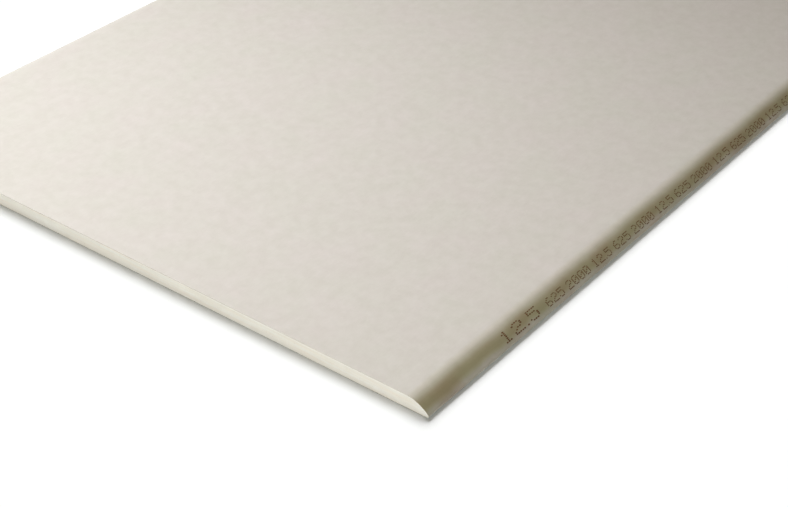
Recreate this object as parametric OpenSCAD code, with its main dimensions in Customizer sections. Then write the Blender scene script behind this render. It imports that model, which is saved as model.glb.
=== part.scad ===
// Drywall sheet: a gypsum core between papers, with both long edges rounded over.
// X runs along the sheet, Y across it and Z up. The back lies on z = 0, with the
// origin at its centre. The face paper wraps the long edges and folds under the back,
// the back paper covers the folds, and the two ends are cut square and bare.

/* [Sheet] */
// Length of the sheet
sheet_l = 2000; // [1000:50:3600]
// Width of the sheet
sheet_w = 625; // [400:25:1250]
// Thickness of the sheet, papers included
sheet_t = 12.5; // [9.5:0.5:18]

/* [Long edges] */
// Width of the rounding, from the flat of the face to the side of the sheet
crown_w = 22; // [18:0.5:40]
// Radius of the tip, where the rounding turns under the sheet
tip_r = 1.8; // [1:0.1:3]

/* [Papers] */
// Thickness of the paper on the face and round the long edges
face_paper_t = 0.3; // [0.2:0.05:0.6]
// Thickness of the paper on the back
back_paper_t = 0.3; // [0.2:0.05:0.6]
// Reach of the face paper under the sheet, from its side
fold_w = 25; // [15:1:40]
// Distance from the side of the sheet to the side of the back paper
back_margin = 6; // [4:0.5:12]

/* [Hidden] */

// The folds and the core lie on top of the back paper
fold_z = back_paper_t;

// Centre of the tip's arc, measured from the side of the sheet and from its back
tip_centre = [tip_r, fold_z + tip_r];

// The rounding is one arc that runs into the flat of the face and into the tip's arc.
// It passes both by a hair, so that the outlines cross and don't just touch.
hair = 0.003;
blend_r = tip_r - hair;
crown_run = crown_w - tip_r;
crown_drop = sheet_t + hair - tip_centre[1];
crown_r = (crown_run ^ 2 + crown_drop ^ 2 - blend_r ^ 2) / (2 * (crown_drop - blend_r));
crown_centre = [crown_w, sheet_t + hair - crown_r];

// Direction from both centres to where the two arcs meet
meet_angle = atan2(tip_centre[1] - crown_centre[1], tip_centre[0] - crown_centre[0]);

// How far the shapes that are cut away run past the section
clear = 5;

arc_steps = 720;

// What is trimmed off the section along one side to round it, drawn from that side
module side_waste(inset) {
    difference() {
        translate([-2 * clear, -clear]) square([crown_w + 2 * clear, sheet_t + 2 * clear]);
        translate(crown_centre) circle(r = crown_r - inset, $fn = arc_steps);
    }
    translate(tip_centre) difference() {
        polygon([[0, 0], for (a = [meet_angle, 180, 225, 270]) 3 * clear * [cos(a), sin(a)]]);
        circle(r = tip_r - inset, $fn = arc_steps);
    }
}

// Section of the sheet above the back paper, drawn inset from its outer surface
module section(inset) {
    difference() {
        translate([-sheet_w / 2 - clear, fold_z + inset])
            square([sheet_w + 2 * clear, sheet_t - fold_z - 2 * inset]);
        for (side = [0, 1]) mirror([side, 0]) translate([-sheet_w / 2, 0]) side_waste(inset);
    }
}

// The back between the two folds, where the core reaches down to the back paper
module between_folds() {
    translate([fold_w - sheet_w / 2, fold_z])
        square([sheet_w - 2 * fold_w, 2 * face_paper_t]);
}

// Runs a section the whole length of the sheet
module full_length() {
    translate([-sheet_l / 2, 0, 0]) rotate([90, 0, 90]) linear_extrude(height = sheet_l) children();
}

// Gypsum, bare at both ends
module gypsum_core() {
    color("#e8e2cd") full_length() union() {
        section(face_paper_t);
        between_folds();
    }
}

// Ivory face paper, one strip from fold to fold over the face
module face_paper() {
    color("#dcd5cb") full_length() difference() {
        section(0);
        section(face_paper_t);
        between_folds();
    }
}

// Grey back paper, glued over the folds
module back_paper() {
    color("#9d9b92")
        translate([-sheet_l / 2, back_margin - sheet_w / 2, 0])
            cube([sheet_l, sheet_w - 2 * back_margin, back_paper_t]);
}

gypsum_core();
face_paper();
back_paper();
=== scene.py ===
# Drywall sheet lying on its back paper, on a pale studio floor.
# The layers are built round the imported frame: a gypsum core, a face paper that wraps both long edges
# and a back paper. The near long edge also carries a row of plain sizes printed in dots.
import math
import random
import bmesh
import bpy
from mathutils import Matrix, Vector, noise


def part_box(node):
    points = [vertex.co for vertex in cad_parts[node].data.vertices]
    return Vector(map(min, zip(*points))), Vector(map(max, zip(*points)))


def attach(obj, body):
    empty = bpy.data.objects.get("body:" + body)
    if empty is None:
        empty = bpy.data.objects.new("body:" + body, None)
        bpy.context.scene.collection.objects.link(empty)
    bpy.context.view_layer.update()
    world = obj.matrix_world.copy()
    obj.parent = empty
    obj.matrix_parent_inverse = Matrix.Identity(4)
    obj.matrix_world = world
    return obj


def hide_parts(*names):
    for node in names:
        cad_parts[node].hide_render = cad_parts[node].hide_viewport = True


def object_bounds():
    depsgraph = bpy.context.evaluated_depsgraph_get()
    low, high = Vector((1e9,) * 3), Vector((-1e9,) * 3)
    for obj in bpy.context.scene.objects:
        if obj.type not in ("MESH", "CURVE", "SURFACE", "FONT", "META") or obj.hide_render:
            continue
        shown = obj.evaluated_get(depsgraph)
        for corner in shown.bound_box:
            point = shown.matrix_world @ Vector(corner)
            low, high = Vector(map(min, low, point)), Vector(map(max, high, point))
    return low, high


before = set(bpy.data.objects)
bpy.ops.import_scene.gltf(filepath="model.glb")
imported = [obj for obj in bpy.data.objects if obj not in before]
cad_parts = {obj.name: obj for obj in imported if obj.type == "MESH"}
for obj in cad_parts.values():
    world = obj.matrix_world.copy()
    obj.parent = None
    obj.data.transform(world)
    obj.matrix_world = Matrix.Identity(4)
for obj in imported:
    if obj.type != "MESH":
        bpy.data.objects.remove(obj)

cadLow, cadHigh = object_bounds()
millimetre = 0.001
body = "root"  # one piece of stock, so everything rides on the one body

# what the frame says about the layers
_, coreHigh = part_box("gypsum_core")
faceLow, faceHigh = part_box("face_paper")
backLow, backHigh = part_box("back_paper")
halfLength = faceHigh.x
halfWidth = faceHigh.y
topZ = faceHigh.z
foldZ = faceLow.z  # the folds lie on the back paper
paperThick = faceHigh.z - coreHigh.z

# section of the long edges, and how finely it is drawn; lengths are in metres
edgeShape = {
    "crownWidth": 0.022,  # from the outermost line to where the flat face starts
    "tipRadius": 0.0018,  # small radius at the foot
    "foldWidth": 0.025,  # face paper turned under the sheet
    "crownSteps": 40,
    "tipSteps": 14,
    "foldSteps": 6,
    "lengthStep": 0.1,  # between cuts across, away from the ends
    "endSteps": [0.0006, 0.003, 0.012, 0.05],  # the first cuts, from each end
    "sharpAngle": 35,  # degrees; folds sharper than this keep a hard line
}


def finishPiece(name, points, faces, material, replaced=None):
    # makes the mesh, turns its faces outwards and hangs it on the body
    mesh = bpy.data.meshes.new(name)
    mesh.from_pydata(points, [], faces)
    sorter = bmesh.new()
    sorter.from_mesh(mesh)
    bmesh.ops.recalc_face_normals(sorter, faces=sorter.faces)
    sorter.to_mesh(mesh)
    sorter.free()
    for face in mesh.polygons:
        face.use_smooth = True
    mesh.set_sharp_from_angle(angle=math.radians(edgeShape["sharpAngle"]))
    mesh.materials.append(material)
    piece = bpy.data.objects.new(name, mesh)
    bpy.context.scene.collection.objects.link(piece)
    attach(piece, body)
    if replaced:
        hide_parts(replaced)
    print(name, "has", len(mesh.polygons), "faces")
    return piece


def newMaterial(name, roughness, specular):
    material = bpy.data.materials.new(name)
    material.use_nodes = True
    tree = material.node_tree
    shader = tree.nodes["Principled BSDF"]
    shader.inputs["Roughness"].default_value = roughness
    shader.inputs["Specular IOR Level"].default_value = specular
    return material, tree, shader


def addNoise(tree, scale, detail=3, rough=0.5, stretch=(1, 1, 1), offset=(0, 0, 0),
             low=None, high=None, most=1):
    # a noise on the object's own coordinates; a stretch below 1 draws it out along that axis,
    # and low and high are the noise values that become 0 and most
    place = tree.nodes.new("ShaderNodeTexCoord")
    mapping = tree.nodes.new("ShaderNodeMapping")
    mapping.inputs["Scale"].default_value = stretch
    mapping.inputs["Location"].default_value = offset
    texture = tree.nodes.new("ShaderNodeTexNoise")
    texture.inputs["Scale"].default_value = scale
    texture.inputs["Detail"].default_value = detail
    texture.inputs["Roughness"].default_value = rough
    tree.links.new(place.outputs["Object"], mapping.inputs["Vector"])
    tree.links.new(mapping.outputs["Vector"], texture.inputs["Vector"])
    if low is None:
        return texture.outputs["Fac"]
    return addRange(tree, texture.outputs["Fac"], low, high, 0, most)


def addRamp(tree, source, stops):
    ramp = tree.nodes.new("ShaderNodeValToRGB")
    ramp.color_ramp.elements[0].position = stops[0][0]
    ramp.color_ramp.elements[0].color = (*stops[0][1], 1)
    ramp.color_ramp.elements[1].position = stops[-1][0]
    ramp.color_ramp.elements[1].color = (*stops[-1][1], 1)
    for position, colour in stops[1:-1]:
        ramp.color_ramp.elements.new(position).color = (*colour, 1)
    tree.links.new(source, ramp.inputs["Fac"])
    return ramp.outputs["Color"]


def addRange(tree, source, fromLow, fromHigh, toLow=0, toHigh=1):
    node = tree.nodes.new("ShaderNodeMapRange")
    node.inputs["From Min"].default_value = fromLow
    node.inputs["From Max"].default_value = fromHigh
    node.inputs["To Min"].default_value = toLow
    node.inputs["To Max"].default_value = toHigh
    tree.links.new(source, node.inputs["Value"])
    return node.outputs["Result"]


# where a mix node keeps its colour sockets
mixSockets = {"factor": 0, "first": 6, "second": 7, "result": 2}


def addMix(tree, factor, first, second, blend="MIX"):
    # first and second are colours or sockets, factor is a number or a socket
    node = tree.nodes.new("ShaderNodeMix")
    node.data_type = "RGBA"
    node.blend_type = blend
    for key, value in (("factor", factor), ("first", first), ("second", second)):
        socket = node.inputs[mixSockets[key]]
        if isinstance(value, bpy.types.NodeSocket):
            tree.links.new(value, socket)
        elif isinstance(value, tuple):
            socket.default_value = (*value, 1)
        else:
            socket.default_value = value
    return node.outputs[mixSockets["result"]]


def addBump(tree, height, depth, under=None):
    node = tree.nodes.new("ShaderNodeBump")
    node.inputs["Distance"].default_value = depth
    tree.links.new(height, node.inputs["Height"])
    if under is not None:
        tree.links.new(under, node.inputs["Normal"])
    return node.outputs["Normal"]


def addTint(tree, colour, tint):
    return addMix(tree, 1.0, colour, tint, "MULTIPLY")


def addProduct(tree, first, second):
    node = tree.nodes.new("ShaderNodeMath")
    node.operation = "MULTIPLY"
    tree.links.new(first, node.inputs[0])
    tree.links.new(second, node.inputs[1])
    return node.outputs["Value"]


def addAxis(tree, axis):
    # one coordinate of the object, in metres
    place = tree.nodes.new("ShaderNodeTexCoord")
    split = tree.nodes.new("ShaderNodeSeparateXYZ")
    tree.links.new(place.outputs["Object"], split.inputs["Vector"])
    return split.outputs[axis]


# the section is a small arc at the foot and one broad arc that runs from it into the flat of the face
tipCentre = (edgeShape["tipRadius"], foldZ + edgeShape["tipRadius"])
crownRun = edgeShape["crownWidth"] - edgeShape["tipRadius"]
crownDrop = topZ - tipCentre[1]
crownSpread = crownRun ** 2 + crownDrop ** 2 - edgeShape["tipRadius"] ** 2
crownRadius = crownSpread / (2 * (crownDrop - edgeShape["tipRadius"]))
crownCentre = (edgeShape["crownWidth"], topZ - crownRadius)
meetAngle = math.atan2(tipCentre[1] - crownCentre[1], tipCentre[0] - crownCentre[0])


def arcPoints(centre, radius, start, end, steps):
    angles = [start + (end - start) * step / steps for step in range(steps + 1)]
    return [(centre[0] + radius * math.cos(a), centre[1] + radius * math.sin(a)) for a in angles]


def edgeProfile(inset):
    # from the end of the fold, round the tip and up the crown; pairs of distance from the edge and height
    straightUp = 0.5 * math.pi
    straightDown = 1.5 * math.pi
    foldEnd = edgeShape["foldWidth"]
    tipRadius = edgeShape["tipRadius"]
    steps = edgeShape["foldSteps"]
    fold = [(foldEnd - (foldEnd - tipRadius) * step / steps, foldZ + inset) for step in range(steps)]
    tip = arcPoints(tipCentre, tipRadius - inset, straightDown, meetAngle, edgeShape["tipSteps"])
    crown = arcPoints(crownCentre, crownRadius - inset, meetAngle, straightUp, edgeShape["crownSteps"])
    return fold + tip + crown[1:]


def coreTop(distance):
    # upper surface of the core at a distance from the long edge
    tipRadius = edgeShape["tipRadius"] - paperThick
    meetDistance = tipCentre[0] + tipRadius * math.cos(meetAngle)
    if distance >= edgeShape["crownWidth"]:
        return topZ - paperThick
    if distance <= meetDistance:
        return tipCentre[1] + math.sqrt(max(tipRadius ** 2 - (tipCentre[0] - distance) ** 2, 0))
    return crownCentre[1] + math.sqrt((crownRadius - paperThick) ** 2 - (crownCentre[0] - distance) ** 2)


def coreBottom(distance):
    # lower surface: round the tip, then over the fold, then on the back paper
    tipRadius = edgeShape["tipRadius"] - paperThick
    if distance < tipCentre[0]:
        return tipCentre[1] - math.sqrt(max(tipRadius ** 2 - (tipCentre[0] - distance) ** 2, 0))
    if distance <= edgeShape["foldWidth"]:
        return foldZ + paperThick
    return foldZ


def spaced(start, end, gap):
    # even steps from start to end, as near to the gap as they fit
    count = max(1, round((end - start) / gap))
    return [start + (end - start) * step / count for step in range(count + 1)]


def lengthStations():
    # where the papers are cut across: close together at the ends, wide apart between
    gap = edgeShape["lengthStep"]
    left = [-halfLength] + [-halfLength + step for step in edgeShape["endSteps"]]
    middle = [-halfLength + gap * step for step in range(1, int(2 * halfLength / gap))]
    right = [-x for x in reversed(left)]
    return left + middle + right


# how a paper's cut end wanders, slowly and finely: lengths in metres, and shares of the paper's own depth
paperCut = {
    "waveLength": 0.045,
    "grainLength": 0.0023,
    "middle": 0.45,
    "waveShare": 0.4,
    "grainShare": 0.45,
}


def raggedCut(place, seed, depth):
    # how far the paper's cut end lies inside the square end, at a place along the cut
    wave = noise.noise(Vector((place / paperCut["waveLength"], seed, 0)))
    grain = noise.noise(Vector((place / paperCut["grainLength"], seed, 1)))
    share = paperCut["middle"] + paperCut["waveShare"] * wave + paperCut["grainShare"] * grain
    return depth * min(max(share, 0.0), 1.0)


def sweepPaper(ring, places, paper):
    # runs a paper's section along the sheet. The ring goes out along one surface and back along the other,
    # and places says how far along the cut each of its points lies
    stations = lengthStations()
    ends = {0: (1, paper["cutSeeds"][0]), len(stations) - 1: (-1, paper["cutSeeds"][1])}
    points = []
    for index, x in enumerate(stations):
        for (y, z), place in zip(ring, places):
            cut = 0
            if index in ends:
                inwards, seed = ends[index]
                cut = inwards * raggedCut(place, seed, paper["raggedDepth"])
            points.append((x + cut, y, z))
    size = len(ring)
    faces = []
    for index in range(len(stations) - 1):
        here = index * size
        there = here + size
        for k in range(size):
            after = (k + 1) % size
            faces.append((here + k, here + after, there + after, there + k))
    for start in (0, (len(stations) - 1) * size):
        for k in range(size // 2 - 1):
            faces.append((start + k, start + k + 1, start + size - 2 - k, start + size - 1 - k))
    return points, faces


facePaper = {
    "spacing": 1.0 * millimetre,  # between points across the face
    "raggedDepth": 0.25 * millimetre,  # how far the cut end wanders inwards
    "cutSeeds": (2.0, 9.0),
    "light": (0.608, 0.570, 0.516),
    "dark": (0.549, 0.511, 0.452),
    "pink": (0.612, 0.552, 0.506),
    "green": (0.572, 0.560, 0.470),
    "fleck": (0.420, 0.370, 0.300),
    "clouds": {"scale": 95, "detail": 4, "rough": 0.62, "low": 0.32, "high": 0.68},
    "hues": {"scale": 24, "detail": 4, "rough": 0.6, "offset": (3, 1, 0), "low": 0.3, "high": 0.7},
    "hueShare": 0.38,
    "fibres": {"scale": 620, "detail": 2, "rough": 0.6, "stretch": (0.22, 1, 1), "low": 0.3, "high": 0.7},
    "fibreShare": 0.05,
    "fibreDepth": 0.010 * millimetre,
    "flecks": {"scale": 900, "detail": 1, "stretch": (0.5, 1, 1), "offset": (0, 5, 0),
               "low": 0.74, "high": 0.8, "most": 0.22},
    "peel": {"scale": 260, "detail": 3},
    "peelDepth": 0.012 * millimetre,
    # painted shade with an olive-brown tint of the paper where it turns down over the near long edge, by
    # millimetres below the face: darkest a few millimetres down, lighter again at the foot
    "edgeShadeTints": [
        (0.0, (1.00, 1.00, 1.00)),
        (0.2, (0.97, 0.965, 0.92)),
        (0.6, (0.88, 0.87, 0.80)),
        (1.0, (0.77, 0.76, 0.66)),
        (1.5, (0.69, 0.68, 0.56)),
        (2.1, (0.60, 0.58, 0.44)),
        (2.8, (0.53, 0.51, 0.345)),
        (4.0, (0.505, 0.49, 0.31)),
        (5.4, (0.54, 0.53, 0.34)),
        (6.4, (0.63, 0.63, 0.45)),
        (7.4, (0.73, 0.74, 0.60)),
        (8.4, (0.83, 0.86, 0.77)),
        (9.6, (0.94, 0.98, 0.93)),
    ],
    "edgeShadeWander": {"scale": 20, "detail": 3, "stretch": (1, 0.3, 0.3), "low": 0.3, "high": 0.7},
    "edgeShadeReach": 0.35,  # how much the painted edge shade's height varies, as a share
    "edgePatches": {"scale": 34, "detail": 3, "stretch": (1, 0.8, 0.8), "offset": (2, 6, 1),
                    "low": 0.42, "high": 0.62},
    "edgeBrown": (0.95, 0.88, 0.87),
    "patchDepths": (1.0, 3.0),  # millimetres below the face, where the brown patches start and are full
    "shadedSide": (-0.05, 0.05),  # across the sheet: the near long edge gets the painted shade, the far one doesn't
    "roughness": 0.86,
    "specular": 0.28,
}


def addEdgePaintedShade(tree):
    # painted shade and olive-brown tint by height on the near long edge, white on the face, with brown
    # patches lower down
    drop = (topZ - foldZ) / millimetre
    reach = facePaper["edgeShadeReach"] / 2
    wander = addRange(tree, addNoise(tree, **facePaper["edgeShadeWander"]), 0, 1, 1 - reach, 1 + reach)
    nearSide = addRange(tree, addAxis(tree, "Y"), *facePaper["shadedSide"], 1, 0)
    depth = addRange(tree, addAxis(tree, "Z"), topZ, foldZ)
    depth = addProduct(tree, addProduct(tree, depth, wander), nearSide)
    tone = addRamp(tree, depth, [(below / drop, tint) for below, tint in facePaper["edgeShadeTints"]])
    start, full = facePaper["patchDepths"]
    mask = addRange(tree, depth, start / drop, full / drop)
    patches = addProduct(tree, mask, addNoise(tree, **facePaper["edgePatches"]))
    return addMix(tree, patches, tone, addTint(tree, tone, facePaper["edgeBrown"]))


def makeFacePaperMaterial():
    material, tree, shader = newMaterial("ivoryFacePaper", facePaper["roughness"], facePaper["specular"])
    base = addMix(tree, addNoise(tree, **facePaper["clouds"]), facePaper["light"], facePaper["dark"])
    hue = addMix(tree, addNoise(tree, **facePaper["hues"]), facePaper["pink"], facePaper["green"])
    base = addMix(tree, facePaper["hueShare"], base, hue)
    base = addMix(tree, addNoise(tree, **facePaper["flecks"]), base, facePaper["fleck"])
    fibres = addNoise(tree, **facePaper["fibres"])
    dim = addRange(tree, fibres, 0, 1, 0, facePaper["fibreShare"])
    base = addMix(tree, dim, base, facePaper["dark"], "MULTIPLY")
    # the near long edge is darkened with painted shade and tinted olive-brown
    base = addTint(tree, base, addEdgePaintedShade(tree))
    tree.links.new(base, shader.inputs["Base Color"])
    peel = addBump(tree, addNoise(tree, **facePaper["peel"]), facePaper["peelDepth"])
    grain = addBump(tree, fibres, facePaper["fibreDepth"], peel)
    tree.links.new(grain, shader.inputs["Normal"])
    return material


def makeFacePaper():
    near = [(-halfWidth + d, z) for d, z in edgeProfile(0)]
    nearInner = [(-halfWidth + d, z) for d, z in edgeProfile(paperThick)]
    flatStart = -halfWidth + edgeShape["crownWidth"]
    flat = spaced(flatStart, -flatStart, facePaper["spacing"])[1:-1]
    outer = near + [(y, topZ) for y in flat] + [(-y, z) for y, z in reversed(near)]
    inner = nearInner + [(y, topZ - paperThick) for y in flat] + [(-y, z) for y, z in reversed(nearInner)]
    ring = outer + inner[::-1]
    points, faces = sweepPaper(ring, [y + z for y, z in ring], facePaper)
    return finishPiece("facePaper", points, faces, makeFacePaperMaterial(), "face_paper")


gypsumCore = {
    "spacing": 0.6 * millimetre,  # between points across the cut end
    "rows": 20,  # points through the thickness
    "tipSteps": 8,
    "cutSeeds": (1.0, 5.0),
    # unevenness of the cut: how deep, how long across the sheet and through it, and a step up in the seed
    "cutLayers": [
        (0.18 * millimetre, (60 * millimetre, 20 * millimetre), 0),  # slow wander
        (0.08 * millimetre, (70 * millimetre, 1.1 * millimetre), 3),  # marks left along the end
        (0.07 * millimetre, (1.3 * millimetre, 1.3 * millimetre), 6),  # grain
    ],
    "pitDepth": 0.35 * millimetre,  # air bubbles opened by the cut
    "pitSpacing": 5.5 * millimetre,
    "pitRadius": 0.16,  # as a share of the spacing
    "light": (0.915, 0.908, 0.835),
    "dark": (0.870, 0.855, 0.770),
    "tan": (0.880, 0.838, 0.735),
    # darker specks on the cut end: painted shade of small pores
    "poreShade": (0.620, 0.570, 0.450),
    "clouds": {"scale": 90, "detail": 4, "rough": 0.6, "low": 0.3, "high": 0.7},
    "streaks": {"scale": 480, "detail": 3, "rough": 0.55, "stretch": (1, 0.035, 1),
                "low": 0.42, "high": 0.66},
    "poreShadeSpecks": {"scale": 1500, "detail": 1, "low": 0.70, "high": 0.76, "most": 0.6},
    "grain": {"scale": 1400, "detail": 4, "rough": 0.65},
    "grainBump": 0.12 * millimetre,
    "roughness": 0.95,
    "specular": 0.15,
}


def makeGypsumMaterial():
    material, tree, shader = newMaterial("creamGypsum", gypsumCore["roughness"], gypsumCore["specular"])
    base = addMix(tree, addNoise(tree, **gypsumCore["clouds"]), gypsumCore["light"], gypsumCore["dark"])
    base = addMix(tree, addNoise(tree, **gypsumCore["streaks"]), base, gypsumCore["tan"])
    # darker specks: painted shade of small pores
    base = addMix(tree, addNoise(tree, **gypsumCore["poreShadeSpecks"]), base, gypsumCore["poreShade"])
    tree.links.new(base, shader.inputs["Base Color"])
    grain = addBump(tree, addNoise(tree, **gypsumCore["grain"]), gypsumCore["grainBump"])
    tree.links.new(grain, shader.inputs["Normal"])
    return material


def cutDepth(y, z, seed):
    # how far the cut end lies inside the square end
    depth = 0
    for most, size, seedStep in gypsumCore["cutLayers"]:
        layer = noise.noise(Vector((y / size[0], z / size[1], seed + seedStep)))
        depth += most * (0.5 + 0.5 * layer)
    spacing = gypsumCore["pitSpacing"]
    nearest = noise.voronoi(Vector((y / spacing, z / spacing, seed)))[0][0]
    pit = max(0.0, 1 - (nearest / gypsumCore["pitRadius"]) ** 2)
    return depth + gypsumCore["pitDepth"] * pit


def coreColumns():
    # distances from the long edge to the middle, close together round the tip
    reach = tipCentre[0] - paperThick
    steps = gypsumCore["tipSteps"]
    turns = [math.pi / 2 * step / steps for step in range(1, steps + 1)]
    turned = [paperThick + reach * (1 - math.cos(turn)) for turn in turns]
    rounded = spaced(tipCentre[0], edgeShape["foldWidth"], gypsumCore["spacing"])
    bevel = edgeShape["foldWidth"] + paperThick  # the core comes down to the back paper here
    flat = spaced(bevel, halfWidth, gypsumCore["spacing"])
    return turned + rounded[1:] + flat


def makeGypsumCore():
    # each cut end is a grid of columns and rows that closes in a point at both tips,
    # and long faces join the rims of the two ends
    side = coreColumns()
    columns = [(-halfWidth + d, coreBottom(d), coreTop(d)) for d in side]
    columns += [(-y, low, high) for y, low, high in reversed(columns[:-1])]
    rows = gypsumCore["rows"]
    tipY = -halfWidth + paperThick
    tipZ = tipCentre[1]
    points = []
    faces = []
    rims = []
    for sign, seed in zip((-1, 1), gypsumCore["cutSeeds"]):
        start = len(points)
        for y, low, high in columns:
            for row in range(rows + 1):
                z = low + (high - low) * row / rows
                points.append((sign * (coreHigh.x - cutDepth(y, z, seed)), y, z))
        for column in range(len(columns) - 1):
            for row in range(rows):
                here = start + column * (rows + 1) + row
                there = here + rows + 1
                faces.append((here, there, there + 1, here + 1))
        nearTip = len(points)
        points.append((sign * (coreHigh.x - cutDepth(tipY, tipZ, seed)), tipY, tipZ))
        points.append((sign * (coreHigh.x - cutDepth(-tipY, tipZ, seed)), -tipY, tipZ))
        last = start + (len(columns) - 1) * (rows + 1)
        for row in range(rows):
            faces.append((nearTip, start + row + 1, start + row))
            faces.append((nearTip + 1, last + row, last + row + 1))
        under = [start + column * (rows + 1) for column in range(len(columns))]
        over = [index + rows for index in reversed(under)]
        rims.append([nearTip] + under + [nearTip + 1] + over)
    first, second = rims
    for k in range(len(first)):
        after = (k + 1) % len(first)
        faces.append((first[k], first[after], second[after], second[k]))
    return finishPiece("gypsumCore", points, faces, makeGypsumMaterial(), "gypsum_core")


backPaper = {
    "spacing": 1.0 * millimetre,
    "raggedDepth": 0.25 * millimetre,
    "cutSeeds": (4.0, 12.0),
    "light": (0.360, 0.350, 0.310),
    "dark": (0.270, 0.260, 0.225),
    "fleckDark": (0.120, 0.115, 0.105),
    "fleckPale": (0.520, 0.500, 0.450),
    "clouds": {"scale": 45, "detail": 5, "rough": 0.6, "low": 0.3, "high": 0.7},
    "darkFlecks": {"scale": 700, "detail": 2, "stretch": (0.4, 1, 1),
                   "low": 0.66, "high": 0.72, "most": 0.7},
    "paleFlecks": {"scale": 640, "detail": 2, "stretch": (0.35, 1, 1), "offset": (4, 2, 0),
                   "low": 0.66, "high": 0.72, "most": 0.6},
    "grain": {"scale": 800, "detail": 3, "rough": 0.6, "stretch": (0.3, 1, 1)},
    "grainBump": 0.06 * millimetre,
    "roughness": 0.9,
    "specular": 0.22,
}


def makeBackPaperMaterial():
    material, tree, shader = newMaterial("greyBackPaper", backPaper["roughness"], backPaper["specular"])
    base = addMix(tree, addNoise(tree, **backPaper["clouds"]), backPaper["light"], backPaper["dark"])
    base = addMix(tree, addNoise(tree, **backPaper["darkFlecks"]), base, backPaper["fleckDark"])
    base = addMix(tree, addNoise(tree, **backPaper["paleFlecks"]), base, backPaper["fleckPale"])
    tree.links.new(base, shader.inputs["Base Color"])
    grain = addBump(tree, addNoise(tree, **backPaper["grain"]), backPaper["grainBump"])
    tree.links.new(grain, shader.inputs["Normal"])
    return material


def makeBackPaper():
    ys = spaced(backLow.y, backHigh.y, backPaper["spacing"])
    ring = [(y, backHigh.z) for y in ys] + [(y, backLow.z) for y in reversed(ys)]
    points, faces = sweepPaper(ring, [y for y, z in ring], backPaper)
    return finishPiece("backPaper", points, faces, makeBackPaperMaterial(), "back_paper")


edgeNumbers = {
    "first": 100 * millimetre,  # from the cut end to the first figure
    "last": 150 * millimetre,  # no new row starts this close to the other end
    # from dot to dot along the edge and round it, in the first word and in the others
    "firstPitch": (2.6 * millimetre, 1.4 * millimetre),
    "pitch": (1.4 * millimetre, 1.1 * millimetre),
    "dotFill": 0.5,  # half a dot's width as a share of the pitch; over 0.5 the dots run together
    "jitter": 0.05,  # as a share of the pitch
    "smallest": 0.85,  # the smallest dot, as a share of the full size
    "proud": (0.008 * millimetre, 0.016 * millimetre),  # each dot stands a little more or less proud
    "sunk": 0.02 * millimetre,  # how far each dot reaches into the paper
    "sides": 8,
    "gap": 1,  # empty columns between two figures
    "wordGap": 3,  # and how many more between two words
    "footAngle": 131,  # on the crown, degrees from the horizontal, where the figures stand
    "seed": 11,
    "ink": (0.095, 0.045, 0.020),
    "inkPale": (0.200, 0.095, 0.050),
    "wear": {"scale": 700, "detail": 2, "rough": 0.6, "low": 0.35, "high": 0.7},
    "roughness": 0.8,
    "specular": 0.2,
}

# rows of dots from the top down
figures = {
    "0": "01110 10001 10011 10101 11001 10001 01110",
    "1": "00100 01100 00100 00100 00100 00100 01110",
    "2": "01110 10001 00001 00110 01000 10000 11111",
    "5": "11111 10000 11110 00001 00001 10001 01110",
    "6": "00110 01000 10000 11110 10001 10001 01110",
    ".": "0 0 0 0 0 0 1",
}


def makeInkMaterial():
    material, tree, shader = newMaterial("edgeInk", edgeNumbers["roughness"], edgeNumbers["specular"])
    base = addMix(tree, addNoise(tree, **edgeNumbers["wear"]), edgeNumbers["ink"], edgeNumbers["inkPale"])
    tree.links.new(base, shader.inputs["Base Color"])
    return material


def crownPoint(along, lift):
    # a point on the crown: along is the arc length up from the foot of the figures
    angle = math.radians(edgeNumbers["footAngle"]) - along / crownRadius
    radius = crownRadius + lift
    y = -halfWidth + crownCentre[0] + radius * math.cos(angle)
    return y, crownCentre[1] + radius * math.sin(angle)


def addDot(points, faces, x, up, halfRun, halfRise, proud):
    # a flat closed dot that lies on the paper and reaches a hair into it
    sides = edgeNumbers["sides"]
    start = len(points)
    for lift in (-edgeNumbers["sunk"], proud):
        for side in range(sides):
            turn = 2 * math.pi * (side + 0.5) / sides
            y, z = crownPoint(up + halfRise * math.sin(turn), lift)
            points.append((x + halfRun * math.cos(turn), y, z))
    faces.append(tuple(range(start, start + sides)))
    faces.append(tuple(range(start + sides, start + 2 * sides)))
    for side in range(sides):
        after = (side + 1) % sides
        faces.append((start + side, start + after, start + sides + after, start + sides + side))


def addFigure(points, faces, x, pitch, rows, draw):
    run, rise = pitch
    fill = edgeNumbers["dotFill"]
    jitter = edgeNumbers["jitter"]
    columns = range(len(rows[0]))
    spots = [(column, row) for row in range(len(rows)) for column in columns if rows[row][column] == "1"]
    for column, row in spots:
        dotX = x + (column + draw.uniform(-jitter, jitter)) * run
        up = (len(rows) - 1 - row + draw.uniform(-jitter, jitter)) * rise
        size = fill * draw.uniform(edgeNumbers["smallest"], 1)
        addDot(points, faces, dotX, up, size * run, size * rise, draw.uniform(*edgeNumbers["proud"]))


def makeEdgeNumbers():
    # thickness, width and length in millimetres, again and again along the edge
    draw = random.Random(edgeNumbers["seed"])
    sizes = [faceHigh.z, 2 * halfWidth, 2 * halfLength]
    words = ["%g" % round(size / millimetre, 1) for size in sizes]
    points = []
    faces = []
    x = -halfLength + edgeNumbers["first"]
    pitch = edgeNumbers["firstPitch"]
    while x < halfLength - edgeNumbers["last"]:
        for word in words:
            for figure in word:
                rows = figures[figure].split()
                addFigure(points, faces, x, pitch, rows, draw)
                x += (len(rows[0]) + edgeNumbers["gap"]) * pitch[0]
            x += edgeNumbers["wordGap"] * pitch[0]
            pitch = edgeNumbers["pitch"]
    return finishPiece("edgeNumbers", points, faces, makeInkMaterial())


print("building the core and the papers")
sheetPieces = [makeGypsumCore(), makeFacePaper(), makeBackPaper(), makeEdgeNumbers()]


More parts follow.
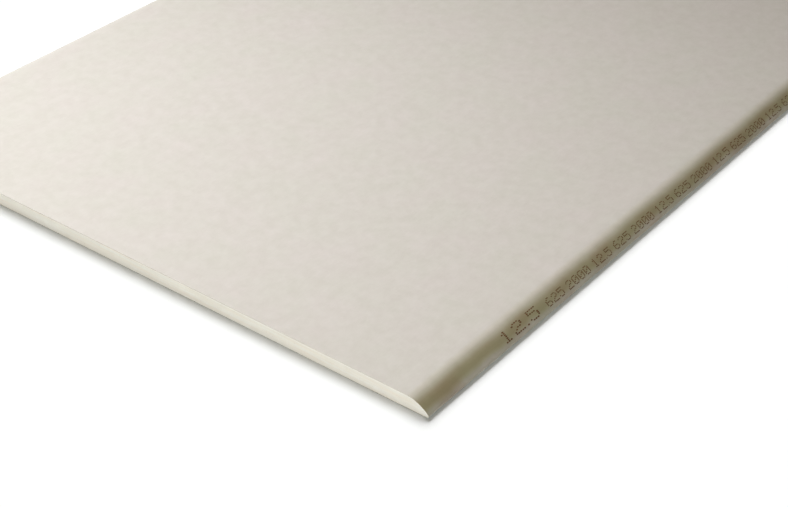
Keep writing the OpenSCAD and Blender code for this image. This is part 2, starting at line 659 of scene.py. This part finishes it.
def makeStagePiece(name, points, faces, material):
    mesh = bpy.data.meshes.new(name)
    mesh.from_pydata(points, [], faces)
    mesh.materials.append(material)
    piece = bpy.data.objects.new(name, mesh)
    bpy.context.scene.collection.objects.link(piece)
    return piece


studioFloor = {
    "size": 60,  # metres
    "light": (0.93, 0.93, 0.93),
    "dark": (0.91, 0.91, 0.905),
    "clouds": {"scale": 3, "low": 0.3, "high": 0.7},
    "grain": {"scale": 400},
    "grainBump": 0.05 * millimetre,
    "roughness": 0.9,
    "specular": 0.1,
    "glow": 0.125,  # lifts the shadows
    "glowColour": (0.80, 0.965, 1.0),
}


def makeFloor():
    half = studioFloor["size"] / 2
    material, tree, shader = newMaterial("paleFloor", studioFloor["roughness"], studioFloor["specular"])
    base = addMix(tree, addNoise(tree, **studioFloor["clouds"]), studioFloor["light"], studioFloor["dark"])
    tree.links.new(base, shader.inputs["Base Color"])
    shader.inputs["Emission Color"].default_value = (*studioFloor["glowColour"], 1)
    shader.inputs["Emission Strength"].default_value = studioFloor["glow"]
    grain = addBump(tree, addNoise(tree, **studioFloor["grain"]), studioFloor["grainBump"])
    tree.links.new(grain, shader.inputs["Normal"])
    corners = [(-half, -half, 0), (half, -half, 0), (half, half, 0), (-half, half, 0)]
    return makeStagePiece("floor", corners, [(0, 1, 2, 3)], material)


studioWall = {
    "radius": 28,  # metres
    "height": 25,
    "sides": 96,
    "light": (1.0, 1.0, 1.0),
    "dark": (0.97, 0.97, 0.965),
    "clouds": {"scale": 0.2, "detail": 2},
    "glow": 1.0,
    "base": (0, 0, 0),  # black under the glow, so that no lamp changes the wall's tone
    "roughness": 1.0,
    "specular": 0.0,
}


def makeBackdrop():
    # a round pale wall far behind everything, for low views; it sheds no light on the sheet
    sides = studioWall["sides"]
    radius = studioWall["radius"]
    turns = [2 * math.pi * side / sides for side in range(sides)]
    ring = [(radius * math.cos(turn), radius * math.sin(turn)) for turn in turns]
    points = [(x, y, 0) for x, y in ring] + [(x, y, studioWall["height"]) for x, y in ring]
    faces = [(k, (k + 1) % sides, sides + (k + 1) % sides, sides + k) for k in range(sides)]
    material, tree, shader = newMaterial("paleWall", studioWall["roughness"], studioWall["specular"])
    shader.inputs["Base Color"].default_value = (*studioWall["base"], 1)
    shader.inputs["Emission Strength"].default_value = studioWall["glow"]
    tone = addMix(tree, addNoise(tree, **studioWall["clouds"]), studioWall["light"], studioWall["dark"])
    tree.links.new(tone, shader.inputs["Emission Color"])
    wall = makeStagePiece("backdrop", points, faces, material)
    wall.visible_diffuse = False
    wall.visible_glossy = False
    wall.visible_transmission = False
    wall.visible_shadow = False


# area lamps are in watts and the sun in watts a square metre, spread and angle are in degrees,
# and "lights" says which pieces a lamp falls on
lamps = {
    "key": {"kind": "AREA", "place": (-0.757, 0.86, 1.466), "aim": (-3.0, -0.90, 0), "size": 0.6,
            "spread": 180, "power": 54, "colour": (0.92, 0.95, 1), "lights": "sheet"},
    "endFill": {"kind": "AREA", "place": (-2.6, -0.7, 0.35), "aim": (-1.0, 0, 0), "size": 1.0,
                "spread": 180, "power": 13, "colour": (1, 1, 1), "lights": "sheet"},
    "farFill": {"kind": "AREA", "place": (1.15, 0.1, 1.8), "aim": (1.15, 0, 0), "size": 0.6,
                "spread": 70, "power": 3.2, "colour": (1, 1, 1), "lights": "sheet"},
    "floorSun": {"kind": "SUN", "place": (0.6, 1.12, 1.0), "aim": (0, 0, 0), "angle": 36,
                 "power": 4.5, "colour": (0.965, 0.985, 1), "lights": "floor"},
}

# a dim warm light from all round
studioWorld = {
    "colour": (1.0, 0.80, 0.61),
    "strength": 0.153,
}


def makeLamps(groups):
    for name, lamp in lamps.items():
        light = bpy.data.lights.new(name, lamp["kind"])
        if lamp["kind"] == "AREA":
            light.shape = "DISK"
            light.size = lamp["size"]
            light.spread = math.radians(lamp["spread"])
        else:
            light.angle = math.radians(lamp["angle"])
        light.energy = lamp["power"]
        light.color = lamp["colour"]
        holder = bpy.data.objects.new(name, light)
        holder.location = lamp["place"]
        direction = Vector(lamp["aim"]) - Vector(lamp["place"])
        holder.rotation_euler = direction.to_track_quat("-Z", "Y").to_euler()
        holder.light_linking.receiver_collection = groups[lamp["lights"]]
        bpy.context.scene.collection.objects.link(holder)
    world = bpy.data.worlds.new("studio")
    world.use_nodes = True
    background = world.node_tree.nodes["Background"]
    background.inputs["Color"].default_value = (*studioWorld["colour"], 1)
    background.inputs["Strength"].default_value = studioWorld["strength"]
    bpy.context.scene.world = world


def makeGroup(name, pieces):
    group = bpy.data.collections.new(name)
    for piece in pieces:
        group.objects.link(piece)
    return group


cameraSettings = {
    "fromCorner": (-0.726, -0.533, 0.769),  # from the near bottom corner of the sheet, in metres
    "turn": 37.86,  # from the sheet's length towards its width, degrees
    "down": 34.76,  # below level, degrees
    "lens": 75.3,  # millimetres
}


def makeCamera():
    camera = bpy.data.objects.new("camera", bpy.data.cameras.new("camera"))
    camera.data.lens = cameraSettings["lens"]
    camera.location = Vector((cadLow.x, cadLow.y, 0)) + Vector(cameraSettings["fromCorner"])
    tilt = math.radians(90 - cameraSettings["down"])
    turn = math.radians(cameraSettings["turn"] - 90)
    camera.rotation_euler = (tilt, 0, turn)
    bpy.context.scene.collection.objects.link(camera)
    bpy.context.scene.camera = camera


print("setting up the studio")
makeBackdrop()
sheetGroup = makeGroup("sheetPieces", sheetPieces)
floorGroup = makeGroup("floorPieces", [makeFloor()])
makeLamps({"sheet": sheetGroup, "floor": floorGroup})
makeCamera()
bpy.context.scene.view_settings.view_transform = "Standard"
